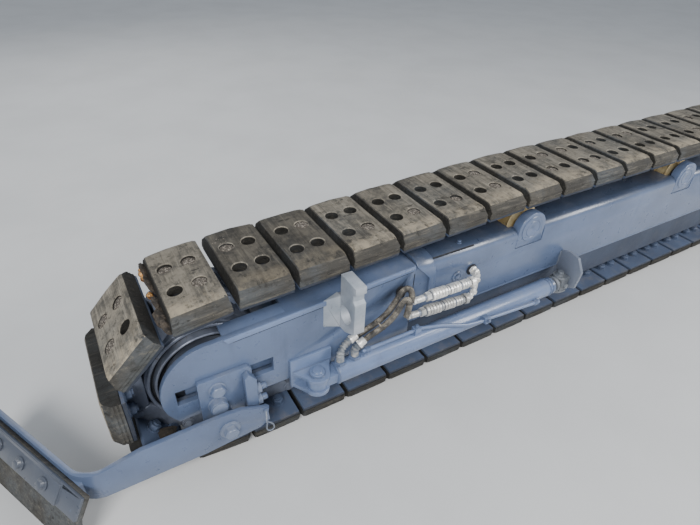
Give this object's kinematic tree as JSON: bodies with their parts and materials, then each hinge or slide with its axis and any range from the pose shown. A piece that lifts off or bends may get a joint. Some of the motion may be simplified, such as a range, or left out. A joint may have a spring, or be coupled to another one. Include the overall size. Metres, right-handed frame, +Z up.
{
  "type": "crawler track unit of a road paver",
  "caption": "Left-hand crawler track unit of a tracked road paver: a closed chain with rubber-padded shoes around a box frame with idler, sprocket, tension cylinder and hinged front deflector.",
  "frame": {"origin": "on the ground under the middle of the bounding box", "axes": "+X forward in the direction of travel, +Y outboard (left side of the machine), +Z up"},
  "size_m": [3.5707, 0.5392, 0.6025],
  "materials": {
    "frame_paint": "semi-gloss, worn",
    "worn_track_steel": "worn paint over steel",
    "pad_rubber": "dusty, worn",
    "hose_rubber": "matt",
    "bronze_roller": "dull",
    "plated_fitting": "satin",
    "bare_steel": "weathered",
    "bright_steel": "satin"
  },
  "bodies": {
    "frame": {"rubber_pads": "pad_rubber", "track_shoes": "worn_track_steel", "track_chain": "worn_track_steel", "sprocket": "worn_track_steel", "final_drive": "worn_track_steel", "idler": "worn_track_steel", "idler_axle": "bright_steel", "bottom_rollers": "worn_track_steel", "roller_shafts": "bright_steel", "carrier_rollers": "bronze_roller", "carrier_caps": "frame_paint", "nose_section": "frame_paint", "rear_beam": "frame_paint", "beam_collar": "frame_paint", "roller_guards": "worn_track_steel", "chassis_brackets": "frame_paint", "idler_bearing_outer": "frame_paint", "idler_bearing_inner": "frame_paint", "stop_lug": "frame_paint", "cylinder_clevis": "frame_paint", "clevis_pin": "bright_steel", "cylinder_barrel": "frame_paint", "cylinder_rod": "bright_steel", "rod_bracket": "frame_paint", "cylinder_pipe": "frame_paint", "pipe_clamps": "frame_paint", "port_elbows": "plated_fitting", "hose_couplings": "plated_fitting", "hoses": "hose_rubber", "eye_bracket": "bare_steel", "thrust_bolts": "bright_steel", "pivot_bolt": "bright_steel"},
    "deflector": {"deflector_arm": "frame_paint", "deflector_clamp": "frame_paint", "deflector_skirt": "pad_rubber", "clamp_bolts": "bright_steel"}
  },
  "joints": [
    {"name": "deflector_hinge", "type": "hinge", "parent": "frame", "child": "deflector", "pos_m": [1.1859, 0.19735, 0.158], "axis": [0, -1, 0], "range_deg": [0, 40]}
  ]
}
